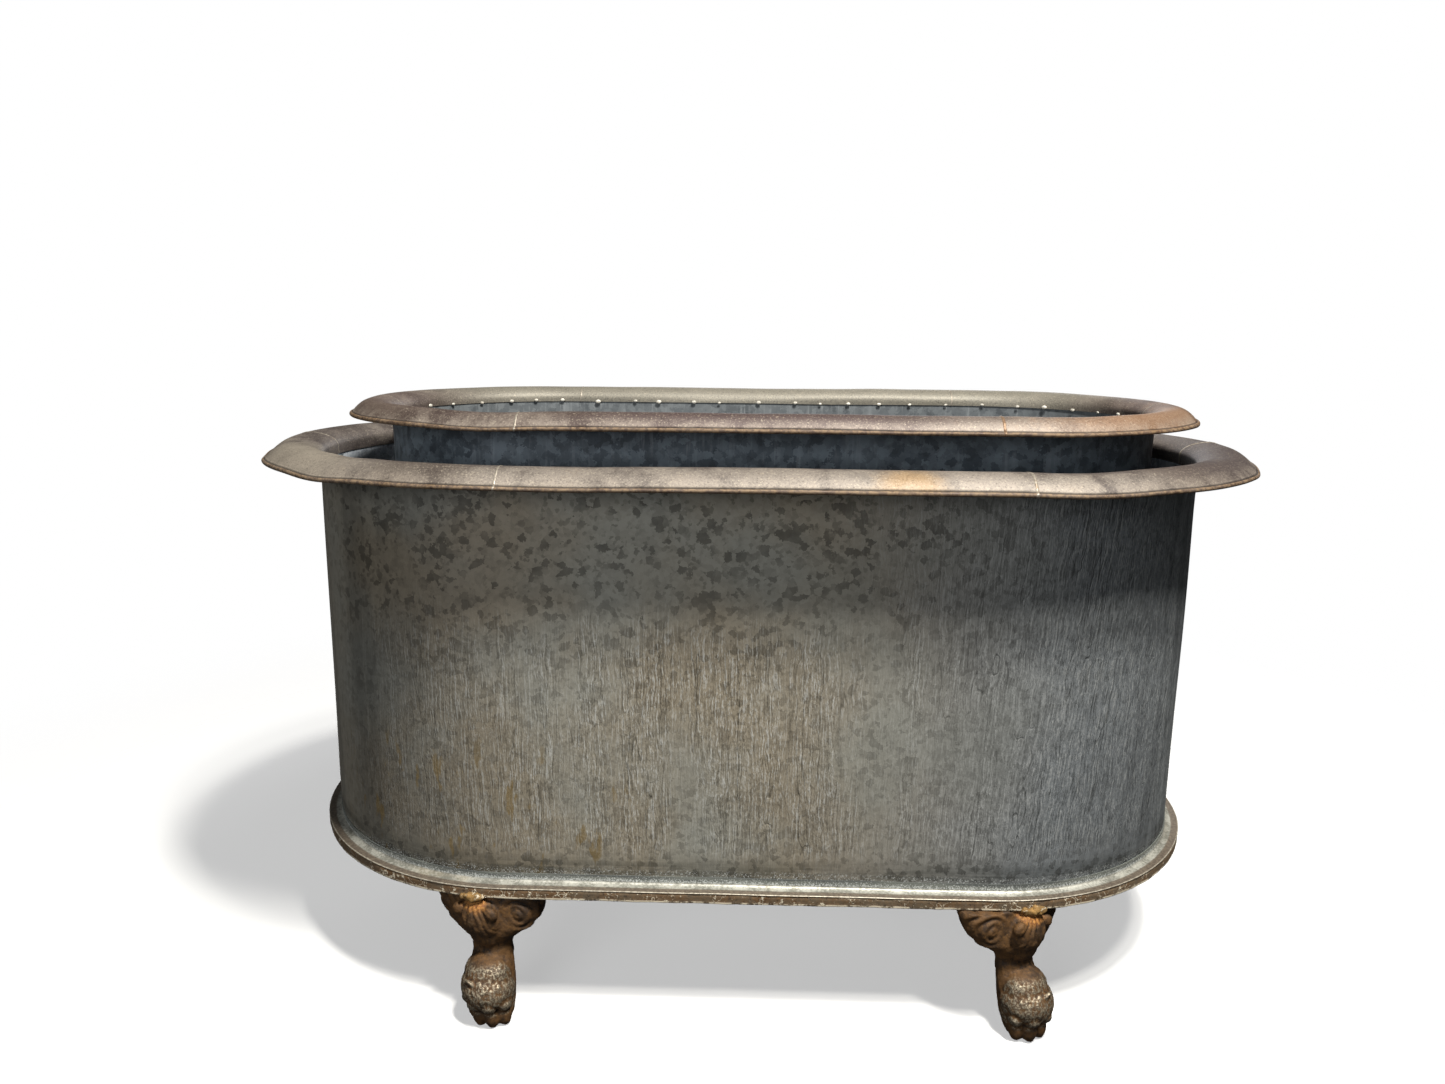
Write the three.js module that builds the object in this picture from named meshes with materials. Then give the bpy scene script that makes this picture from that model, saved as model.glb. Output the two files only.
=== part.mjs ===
// A nested pair of galvanised stock troughs: a large round-ended trough on four cast paw feet,
// and a smaller one of the same pattern that stands inside it and lifts straight out.
// Units are millimetres. +X runs along the troughs, +Z is up, and the feet of the large
// trough stand on Z = 0, centred on the origin.
import * as THREE from "three";

// ---- driving dimensions ---------------------------------------------------------------------
const GAP = 0.3; // clearance between pieces that touch
const SHEET = 1.5; // galvanised sheet
const HALF_STRAIGHT = 270; // from the middle to the centre of each round end
const FOOT_HEIGHT = 147;
const QUARTER_STEPS = 12; // facets in a quarter turn of a round end

const FLANGE_REACH = 17; // the base stands this far outside the wall
const RING_BAR = 3; // thickness of the steel ring's two legs
const RING_SKIRT = 11; // height of the ring's upright leg
const RING_LEDGE = 20; // how far the ring's flat leg reaches inside the wall
const FLOOR_THICKNESS = 2;
const COVE_HEIGHT = 12; // the fillet moulding between wall and base
const SEAM_WIDTH = 20;
const SEAM_GAP = 0.9; // the strip is a little off the wall, which is faceted
const LEG_DEPTH = 11.5; // how far the rim's inner leg laps down inside the wall
const WALL_BELOW_LEG_TOP = 0.5;
const BEARER_SPACING = 180;
const BEARER_WIDTH = 30;

// Each foot sits this far past the start of the round end, is turned outwards, and leans in so
// that its sole stands nearer the middle. They were fixed by hand, so the two ends differ.
const FEET = {
  left: { along: 38, turn: THREE.MathUtils.degToRad(16), lean: 22 },
  right: { along: 46, turn: THREE.MathUtils.degToRad(32), lean: 6 },
};
const WELD_RADIUS = 4;
const WELD_LENGTH = 24;

const OUTER = {
  name: "outer",
  radius: 275,
  centreX: 0,
  standsOn: 0,
  footScale: 1,
  crestZ: 637,
  rim: { width: 66, crestOut: 34, rise: 16.5, drop: 21 },
};
const INNER = {
  name: "inner",
  radius: 206,
  centreX: 18,
  standsOn: FOOT_HEIGHT + RING_BAR + GAP + FLOOR_THICKNESS + GAP,
  footScale: 0.84,
  crestZ: 686,
  rim: { width: 50, crestOut: 25, rise: 16.5, drop: 19 },
};

// ---- finishes -------------------------------------------------------------------------------
const finish = (color, roughness, metalness) =>
  new THREE.MeshStandardMaterial({ color, roughness, metalness });
const FINISH = {
  zincSheet: finish(0x6f716b, 0.55, 0.8),
  zincMoulding: finish(0xb4b3a6, 0.5, 0.8),
  rimSheet: finish(0x7d7064, 0.5, 0.8),
  rustySteel: finish(0x5c4636, 0.85, 0.4),
  castIron: finish(0x4a3b2b, 0.75, 0.5),
};

const group = new THREE.Group();

function addMesh(name, geometry, material) {
  const mesh = new THREE.Mesh(geometry, material);
  mesh.name = name;
  group.add(mesh);
  return mesh;
}

// ---- sweeping a section round the plan --------------------------------------------------------
// A station is a point on the wall's outer face, with the direction that faces out.
function station(trough, endSign, angle) {
  const out = new THREE.Vector2(Math.cos(angle), Math.sin(angle));
  const x = trough.centreX + endSign * HALF_STRAIGHT + trough.radius * out.x;
  return { x, y: trough.radius * out.y, out };
}

// Stations round part of one end, clockwise as seen from above.
function arc(trough, endSign, fromDeg, toDeg, trimDeg = 0) {
  const from = fromDeg - trimDeg;
  const to = toDeg + trimDeg;
  const steps = Math.max(2, Math.round((QUARTER_STEPS * (from - to)) / 90));
  return Array.from({ length: steps + 1 }, (_, i) =>
    station(trough, endSign, THREE.MathUtils.degToRad(from + ((to - from) * i) / steps)),
  );
}

// Half of the gap between two neighbours on a round end, as an angle.
const halfGapDeg = (trough) => THREE.MathUtils.radToDeg(GAP / 2 / trough.radius);

// Half of the whole plan, from the middle of one end, along a side, to the middle of the other.
function halfPlan(trough, side) {
  const trim = halfGapDeg(trough);
  const first = side === "front" ? 0 : -180;
  const sign = side === "front" ? 1 : -1;
  const start = arc(trough, sign, first - trim, first - 90);
  const end = arc(trough, -sign, first - 90, first - 180 + trim);
  return [...start, ...end];
}

// A straight side, shortened by half a gap at each end.
function straightPlan(trough, side) {
  const sign = side === "front" ? 1 : -1;
  const angle = side === "front" ? -Math.PI / 2 : Math.PI / 2;
  return [sign, -sign].map((endSign) => {
    const s = station(trough, endSign, angle);
    return { ...s, x: s.x - endSign * (GAP / 2) };
  });
}

// Carries a section (u outwards from the wall, v upwards) through the stations.
function sweep(section, stations, curveSegments = 3) {
  const steps = stations.length - 1;
  const geometry = new THREE.ExtrudeGeometry(section, {
    depth: steps,
    steps,
    curveSegments,
    bevelEnabled: false,
  });
  const position = geometry.getAttribute("position");
  for (let i = 0; i < position.count; i++) {
    const u = position.getX(i);
    const s = stations[Math.round(position.getZ(i))];
    position.setXYZ(i, s.x + s.out.x * u, s.y + s.out.y * u, position.getY(i));
  }
  return geometry;
}

function rectangle(u0, v0, u1, v1) {
  const shape = new THREE.Shape();
  shape.moveTo(u0, v0);
  shape.lineTo(u1, v0);
  shape.lineTo(u1, v1);
  shape.lineTo(u0, v1);
  return shape;
}

// The whole plan as a flat outline, offset outwards from the wall.
function planShape(trough, offset) {
  const r = trough.radius + offset;
  const [left, right] = [-1, 1].map((sign) => trough.centreX + sign * HALF_STRAIGHT);
  const shape = new THREE.Shape();
  shape.moveTo(left, -r);
  shape.lineTo(right, -r);
  shape.absarc(right, 0, r, -Math.PI / 2, Math.PI / 2);
  shape.lineTo(left, r);
  shape.absarc(left, 0, r, Math.PI / 2, (3 * Math.PI) / 2);
  return shape;
}

// ---- heights that follow from the dimensions ---------------------------------------------------
function levels(trough) {
  const baseZ = trough.standsOn + FOOT_HEIGHT * trough.footScale;
  const floorZ = baseZ + RING_BAR + GAP;
  const legTopZ = trough.crestZ - trough.rim.rise;
  return {
    baseZ,
    floorZ,
    wallZ: floorZ + FLOOR_THICKNESS + GAP,
    coveZ: baseZ + RING_SKIRT + GAP,
    legTopZ,
    legZ: legTopZ - LEG_DEPTH,
    wallTopZ: legTopZ - WALL_BELOW_LEG_TOP,
  };
}

// ---- sections -----------------------------------------------------------------------------------
// The rim is one folded sheet: a leg inside the wall, an arch over its top edge, and a slope
// down to a rolled bead at the outer lip.
function rimSection(trough) {
  const { width, crestOut, rise, drop } = trough.rim;
  const top = trough.crestZ;
  const inner = -(SHEET + GAP);
  const { legZ, legTopZ } = levels(trough);
  const bead = 2.4;
  const beadU = width - bead;
  const beadV = top - drop + bead;
  const shape = new THREE.Shape();
  shape.moveTo(inner - SHEET, legZ);
  shape.lineTo(inner - SHEET, legTopZ);
  const archOut = crestOut - (inner - SHEET);
  shape.absellipse(crestOut, legTopZ, archOut, rise, Math.PI, Math.PI / 2, true);
  shape.quadraticCurveTo(crestOut + 0.6 * (width - crestOut), top - 0.5, beadU + 1, beadV + bead);
  shape.absarc(beadU, beadV, bead, Math.PI / 3, -Math.PI, true);
  const innerCurveU = crestOut + 0.55 * (beadU - crestOut);
  shape.quadraticCurveTo(innerCurveU, top - 2.6, crestOut, top - SHEET);
  shape.absellipse(crestOut, legTopZ, archOut - SHEET, rise - SHEET, Math.PI / 2, Math.PI, false);
  shape.lineTo(inner, legZ);
  return shape;
}

// The steel ring is an angle: a flat leg under the floor and an upright skirt outside it.
function ringSection(trough) {
  const { baseZ } = levels(trough);
  const shape = new THREE.Shape();
  shape.moveTo(-RING_LEDGE, baseZ);
  shape.lineTo(FLANGE_REACH, baseZ);
  shape.lineTo(FLANGE_REACH, baseZ + RING_SKIRT);
  shape.lineTo(FLANGE_REACH - RING_BAR, baseZ + RING_SKIRT);
  shape.lineTo(FLANGE_REACH - RING_BAR, baseZ + RING_BAR);
  shape.lineTo(-RING_LEDGE, baseZ + RING_BAR);
  return shape;
}

// The cove moulding closes the corner between the wall and the top of the skirt.
function coveSection(trough) {
  const { coveZ } = levels(trough);
  const lip = FLANGE_REACH + 0.8;
  const shape = new THREE.Shape();
  shape.moveTo(GAP, coveZ);
  shape.lineTo(lip, coveZ);
  shape.lineTo(lip, coveZ + 1.2);
  shape.lineTo(10, coveZ + 2);
  shape.quadraticCurveTo(2.2, coveZ + 3, 1.4, coveZ + COVE_HEIGHT);
  shape.lineTo(GAP, coveZ + COVE_HEIGHT);
  return shape;
}

// ---- pieces of one trough -----------------------------------------------------------------------
function addWalls(trough) {
  const { wallZ, wallTopZ, legZ } = levels(trough);
  for (const side of ["front", "back"]) {
    const section = rectangle(-SHEET, wallZ, 0, wallTopZ);
    addMesh(`${trough.name}_wall_${side}`, sweep(section, halfPlan(trough, side)), FINISH.zincSheet);
  }
  // A cover strip is soldered inside each end, where the two sheets meet.
  const half = THREE.MathUtils.radToDeg(SEAM_WIDTH / 2 / trough.radius);
  const strip = rectangle(-(2 * SHEET + SEAM_GAP), wallZ, -(SHEET + SEAM_GAP), legZ - 2);
  for (const [end, sign, middle] of [["right", 1, 0], ["left", -1, -180]]) {
    const stations = arc(trough, sign, middle + half, middle - half);
    addMesh(`${trough.name}_seam_strip_${end}`, sweep(strip, stations), FINISH.zincSheet);
  }
}

function addFloor(trough) {
  const { floorZ } = levels(trough);
  const edge = FLANGE_REACH - RING_BAR - GAP;
  const geometry = new THREE.ExtrudeGeometry(planShape(trough, edge), {
    depth: FLOOR_THICKNESS,
    curveSegments: QUARTER_STEPS, // a half turn takes twice this many
    bevelEnabled: false,
  });
  addMesh(`${trough.name}_floor`, geometry.translate(0, 0, floorZ), FINISH.zincSheet);
}

function addRim(trough) {
  const section = rimSection(trough);
  for (const side of ["front", "back"]) {
    const geometry = sweep(section, straightPlan(trough, side));
    addMesh(`${trough.name}_rim_${side}`, geometry, FINISH.rimSheet);
  }
  const corners = [
    ["front_right", 1, 0],
    ["front_left", -1, -90],
    ["back_left", -1, -180],
    ["back_right", 1, -270],
  ];
  for (const [place, sign, from] of corners) {
    const stations = arc(trough, sign, from, from - 90, halfGapDeg(trough));
    addMesh(`${trough.name}_rim_${place}`, sweep(section, stations), FINISH.rimSheet);
  }
}

function addBase(trough) {
  for (const side of ["front", "back"]) {
    const geometry = sweep(coveSection(trough), halfPlan(trough, side));
    addMesh(`${trough.name}_cove_${side}`, geometry, FINISH.zincMoulding);
  }
  // The ring is bent from two equal bars that meet at the middle of each end.
  for (const side of ["front", "back"]) {
    const geometry = sweep(ringSection(trough), halfPlan(trough, side));
    addMesh(`${trough.name}_ring_${side}`, geometry, FINISH.rustySteel);
  }
}

// Flat bars run across under the floor, between the inner edges of the ring. They lie no lower
// than the ring, so nothing shows below the skirt.
function addBearers(trough) {
  const { baseZ } = levels(trough);
  const halfSpan = trough.radius - RING_LEDGE - GAP;
  const places = { left: -BEARER_SPACING, middle: 0, right: BEARER_SPACING };
  for (const [place, x] of Object.entries(places)) {
    const bar = new THREE.BoxGeometry(BEARER_WIDTH, 2 * halfSpan, RING_BAR);
    bar.translate(trough.centreX + x, 0, baseZ + RING_BAR / 2);
    addMesh(`${trough.name}_bearer_${place}`, bar, FINISH.rustySteel);
  }
}

// ---- feet ---------------------------------------------------------------------------------------
// Outline of a cast paw foot, from sole to top: height, half width, and how far the front and
// the back of the section stand from the face of the skirt.
const FOOT_OUTLINE = [
  { z: 0, half: 16, front: 24, back: -12 },
  { z: 7, half: 23, front: 32, back: -18 },
  { z: 20, half: 29.5, front: 35, back: -23 },
  { z: 34, half: 31.5, front: 31, back: -27 },
  { z: 48, half: 29, front: 20, back: -30 },
  { z: 62, half: 27, front: 8, back: -33 },
  { z: 78, half: 25.5, front: 0, back: -37 },
  { z: 91, half: 27, front: 1, back: -42 },
  { z: 104, half: 42, front: 6, back: -49 },
  { z: 118, half: 58, front: 8, back: -57 },
  { z: 132, half: 67, front: 5, back: -65 },
  { z: 141, half: 70, front: 0, back: -70 },
  { z: FOOT_HEIGHT, half: 71, front: -6, back: -73 },
];

function footGeometry(scale) {
  const rows = FOOT_OUTLINE.length - 1;
  const geometry = new THREE.CylinderGeometry(1, 1, rows, 20, rows);
  geometry.rotateX(Math.PI / 2);
  const position = geometry.getAttribute("position");
  for (let i = 0; i < position.count; i++) {
    const row = FOOT_OUTLINE[Math.round(position.getZ(i) + rows / 2)];
    const middle = (row.front + row.back) / 2;
    const depth = (row.front - row.back) / 2;
    position.setXYZ(i, position.getX(i) * row.half, middle + position.getY(i) * depth, row.z);
  }
  const tall = (FOOT_HEIGHT * scale - GAP) / FOOT_HEIGHT;
  geometry.scale(scale, scale, tall);
  return geometry;
}

// Slides every level of a foot sideways, from nothing at the top to the whole shift at the sole.
function leanFoot(geometry, shift, height) {
  const shear = new THREE.Matrix4().makeShear(0, 0, 0, 0, -shift.x / height, -shift.y / height);
  geometry.applyMatrix4(shear);
  geometry.translate(shift.x, shift.y, 0);
}

function addFeet(trough) {
  const { baseZ } = levels(trough);
  const reach = trough.radius + FLANGE_REACH;
  for (const [end, { along, turn, lean }] of Object.entries(FEET)) {
    const xSign = end === "right" ? 1 : -1;
    const pastStart = along * trough.footScale;
    const across = Math.sqrt(reach ** 2 - pastStart ** 2);
    for (const side of ["front", "back"]) {
      const ySign = side === "back" ? 1 : -1;
      const x = trough.centreX + xSign * (HALF_STRAIGHT + pastStart);
      const facing = Math.atan2(ySign * Math.cos(turn), xSign * Math.sin(turn));
      const rotation = facing - Math.PI / 2;
      const geometry = footGeometry(trough.footScale);
      const shift = new THREE.Vector2(-xSign * lean * trough.footScale, 0);
      shift.rotateAround(new THREE.Vector2(), -rotation);
      leanFoot(geometry, shift, FOOT_HEIGHT * trough.footScale);
      const foot = addMesh(`${trough.name}_foot_${side}_${end}`, geometry, FINISH.castIron);
      foot.position.set(x, ySign * across, trough.standsOn);
      foot.rotation.z = rotation;
      addWeld(`${trough.name}_weld_${side}_${end}`, {
        x: trough.centreX + xSign * HALF_STRAIGHT,
        z: baseZ + 1,
        outwards: Math.atan2(ySign * across, xSign * pastStart),
        reach: reach + GAP + WELD_RADIUS,
      });
    }
  }
}

// A short bead of weld joins the top of a foot to the face of the skirt.
function addWeld(name, { x, z, outwards, reach }) {
  const bead = new THREE.CapsuleGeometry(WELD_RADIUS, WELD_LENGTH - 2 * WELD_RADIUS, 3, 8);
  bead.rotateZ(Math.PI / 2);
  const weld = addMesh(name, bead, FINISH.rustySteel);
  weld.position.set(x + reach * Math.cos(outwards), reach * Math.sin(outwards), z);
  weld.rotation.z = outwards - Math.PI / 2;
}

for (const trough of [OUTER, INNER]) {
  addWalls(trough);
  addFloor(trough);
  addRim(trough);
  addBase(trough);
  addBearers(trough);
  addFeet(trough);
}

export default group;
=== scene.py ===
# %% [markdown]
# # A nested pair of galvanised stock troughs
# Two round-ended troughs of the same pattern: a large one on cast paw feet, and a smaller one
# standing inside it. The engineering model is loaded first and never changed. Every piece made
# below rides on one of its two bodies, and most stand for one or more of its parts.

# %% Load the frame
import math
import random

import bmesh
import bpy
from mathutils import Matrix, Vector, noise


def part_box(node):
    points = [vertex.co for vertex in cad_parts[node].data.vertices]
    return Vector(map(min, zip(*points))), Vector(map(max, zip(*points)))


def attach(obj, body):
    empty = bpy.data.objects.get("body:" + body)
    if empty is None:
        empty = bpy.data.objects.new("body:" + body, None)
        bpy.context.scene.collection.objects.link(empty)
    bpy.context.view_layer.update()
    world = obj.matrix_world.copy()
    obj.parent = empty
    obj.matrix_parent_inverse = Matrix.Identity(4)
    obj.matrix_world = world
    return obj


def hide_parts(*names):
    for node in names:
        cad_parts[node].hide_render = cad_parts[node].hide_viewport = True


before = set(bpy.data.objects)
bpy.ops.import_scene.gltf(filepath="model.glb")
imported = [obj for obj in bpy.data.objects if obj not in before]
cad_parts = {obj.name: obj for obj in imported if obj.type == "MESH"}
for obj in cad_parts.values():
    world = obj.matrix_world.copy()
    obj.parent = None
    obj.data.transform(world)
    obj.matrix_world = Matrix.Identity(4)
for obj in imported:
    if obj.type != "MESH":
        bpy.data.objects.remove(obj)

MM = 0.001
noise.seed_set(1)  # unseeded, noise_vector starts from the clock and no two runs agree
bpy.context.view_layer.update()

# %% [markdown]
# ## The camera
# The camera comes first, because every later choice of detail depends on how large things
# appear. It stands a little above the rims, about a metre in front of the troughs, and looks
# slightly down and a touch to the left.

# %% Place the camera
VIEW_FROM = Vector((0.0003, -1.3805, 0.7805))
VIEW_LEFT = 0.0293  # radians off the +Y axis
VIEW_DOWN = 0.2013
VIEW_ROLL = 0.0092
SENSOR_WIDTH = 36.0  # mm, and so is the next
FOCAL_LENGTH = 26.742

camera_data = bpy.data.cameras.new("camera")
camera_data.sensor_width = SENSOR_WIDTH
camera_data.lens = FOCAL_LENGTH
camera = bpy.data.objects.new("camera", camera_data)
bpy.context.scene.collection.objects.link(camera)
aim = Matrix.Rotation(VIEW_LEFT, 4, "Z") @ Matrix.Rotation(math.pi / 2 - VIEW_DOWN, 4, "X")
camera.matrix_world = Matrix.Translation(VIEW_FROM) @ aim @ Matrix.Rotation(VIEW_ROLL, 4, "Z")
bpy.context.scene.camera = camera
bpy.context.scene.view_settings.view_transform = "Standard"
print("lens, mm:", round(FOCAL_LENGTH, 2))

# %% [markdown]
# ## Measurements of the two troughs
# Both troughs are a straight middle with a half-round end on each side. Everything that runs
# round a trough is described by a flat section: how far out from the wall, and how high. The
# sizes are read from the engineering model, so that they can't drift away from it.


# %% Measure the troughs
FOOT_HEIGHT = 147 * MM  # of a large foot; the small trough's feet are a smaller copy
SMALL_RIM_LEG = 3.5 * MM  # the engineering model makes this leg 8 mm longer


class Trough:
    """The sizes of one trough, in metres."""

    def __init__(self, name):
        self.name = name
        self.body = f"{name}_tub"
        low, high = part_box(f"{name}_wall_front")
        self.radius = -low.y
        self.middle = (low.x + high.x) / 2
        self.half_straight = (high.x - low.x) / 2 - self.radius
        self.wall_foot, self.wall_top = low.z, high.z
        low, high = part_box(f"{name}_rim_front")
        self.crest = high.z
        self.leg_foot = low.z
        self.rim_reach = -low.y - self.radius
        low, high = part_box(f"{name}_ring_front")
        self.ring_reach = -low.y - self.radius
        self.ring_foot, self.ring_top = low.z, high.z
        low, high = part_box(f"{name}_cove_front")
        self.cove_foot, self.cove_top = low.z, high.z
        self.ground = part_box(f"{name}_foot_front_left")[0].z
        self.size = (self.ring_foot - self.ground) / FOOT_HEIGHT


large, small = Trough("outer"), Trough("inner")
small.leg_foot = small.wall_top - SMALL_RIM_LEG
for trough in (large, small):
    print(trough.name, {k: round(v, 4) for k, v in vars(trough).items() if isinstance(v, float)})

# %% [markdown]
# ## Running a section round a trough
# On the bench the rims and mouldings are bent from long folded strips. Here a section is drawn
# once as a line of points, and two mesh operators carry it along: spin round an end, and
# extrude along a straight. A curve with a bevel would do the same, but spin and extrude keep
# the rows of points in order, which makes it easy to dent them afterwards.

# %% The sweep
BMVert, BMEdge = bmesh.types.BMVert, bmesh.types.BMEdge
QUARTER = 90


def sweep(section, trough, end, start, legs):
    """Carries a section from an angle (degrees) on one end of a trough along its legs."""
    bm = bmesh.new()
    pivot = Vector((trough.middle + end * trough.half_straight, 0, 0))
    turn = Matrix.Rotation(math.radians(start), 4, "Z")
    along = bm.verts.layers.float.new("across")
    row = [bm.verts.new(pivot + turn @ Vector((trough.radius + u, 0, v))) for u, v in section]
    for i, vert in enumerate(row):
        vert[along] = i / (len(row) - 1)
    line = row + [bm.edges.new(pair) for pair in zip(row, row[1:])]
    for kind, amount, steps in legs:
        if kind == "round":
            made = bmesh.ops.spin(
                bm, geom=line, cent=pivot, axis=(0, 0, 1), angle=math.radians(amount), steps=steps
            )
            line = made["geom_last"]
            continue
        for _ in range(steps):
            edges = [g for g in line if isinstance(g, BMEdge)]
            made = bmesh.ops.extrude_edge_only(bm, edges=edges)
            moved = [g for g in made["geom"] if isinstance(g, BMVert)]
            bmesh.ops.translate(bm, verts=moved, vec=(amount / steps, 0, 0))
            fresh = set(moved)
            line = moved + [
                g for g in made["geom"] if isinstance(g, BMEdge) and fresh.issuperset(g.verts)
            ]
        pivot.x += amount
    return bm


def half_way_round(trough, side, round_steps, straight_steps):
    """Start and legs of a run from the middle of one end, along a side, to the other end."""
    end, start = (1, 0) if side == "front" else (-1, -180)
    return end, start, [
        ("round", -QUARTER, round_steps),
        ("straight", -end * 2 * trough.half_straight, straight_steps),
        ("round", -QUARTER, round_steps),
    ]


# %% [markdown]
# ## Making a mesh into a piece
# Each piece is a single skin at first. Its faces are turned to point outwards, a Solidify
# modifier gives it the thickness of the real sheet, and it is told which body carries it.


# %% Finishing helpers
def face_away(bm, inside):
    """Turns the faces so that they look away from the nearest inside point."""
    bmesh.ops.recalc_face_normals(bm, faces=bm.faces[:])
    total = sum(
        face.normal.dot(face.calc_center_median() - inside(face.calc_center_median()))
        * face.calc_area()
        for face in bm.faces
    )
    if total < 0:
        bmesh.ops.reverse_faces(bm, faces=bm.faces[:])


def make_piece(name, bm, body, material, stands_for=(), thickness=0, lining=None):
    mesh = bpy.data.meshes.new(name)
    for face in bm.faces:
        face.smooth = True
    for edge in bm.edges:  # a cut edge stays crisp, or the shading bends along it
        edge.smooth = not edge.is_boundary
    bm.to_mesh(mesh)
    bm.free()
    mesh.materials.append(material)
    if lining:
        mesh.materials.append(lining)
    piece = bpy.data.objects.new(name, mesh)
    bpy.context.scene.collection.objects.link(piece)
    if thickness:
        sheet = piece.modifiers.new("sheet", "SOLIDIFY")
        sheet.thickness = thickness
        sheet.offset = -1
        sheet.material_offset = 1 if lining else 0
    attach(piece, body)
    if stands_for:
        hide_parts(*stands_for)
    return piece


def axis_of(trough, height=None):
    """The nearest point on the line between the centres of a trough's round ends."""

    def nearest(point):
        reach = max(-trough.half_straight, min(trough.half_straight, point.x - trough.middle))
        return Vector((trough.middle + reach, 0, point.z if height is None else height))

    return nearest


def smooth_rise(value, low, high):
    t = max(0.0, min(1.0, (value - low) / (high - low)))
    return t * t * (3 - 2 * t)


def warp(bm, amount, wavelength, hold=lambda co: 1.0, seed=0.0):
    """Moves the points by a slow noise, the way thin sheet is never quite true."""
    shift = Vector((seed, seed * 0.7, -seed))
    for vert in bm.verts:
        push = noise.noise_vector(vert.co / wavelength + shift)
        vert.co += push * amount * hold(vert.co)


# %% [markdown]
# ## Shader arithmetic
# A finish is written as ordinary sums: `rust * 0.5 + speck`. The small class below wraps a
# shader socket, and each sum adds a Math node. One method adds every other kind of node.


# %% Finish helpers
def srgb(code):
    """A six-figure colour as the linear numbers that shaders use."""
    parts = [int(code[i : i + 2], 16) / 255 for i in (0, 2, 4)]
    linear = [p / 12.92 if p <= 0.04045 else ((p + 0.055) / 1.055) ** 2.4 for p in parts]
    return (*linear, 1.0)


class Value:
    """A socket whose value varies over the surface."""

    def __init__(self, finish, socket):
        self.finish, self.socket = finish, socket

    def __add__(self, other):
        return self.finish.maths("ADD", self, other)

    def __sub__(self, other):
        return self.finish.maths("SUBTRACT", self, other)

    def __rsub__(self, other):
        return self.finish.maths("SUBTRACT", other, self)

    def __mul__(self, other):
        return self.finish.maths("MULTIPLY", self, other)

    def __pow__(self, other):
        return self.finish.maths("POWER", self, other)

    __radd__ = __add__
    __rmul__ = __mul__


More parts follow.
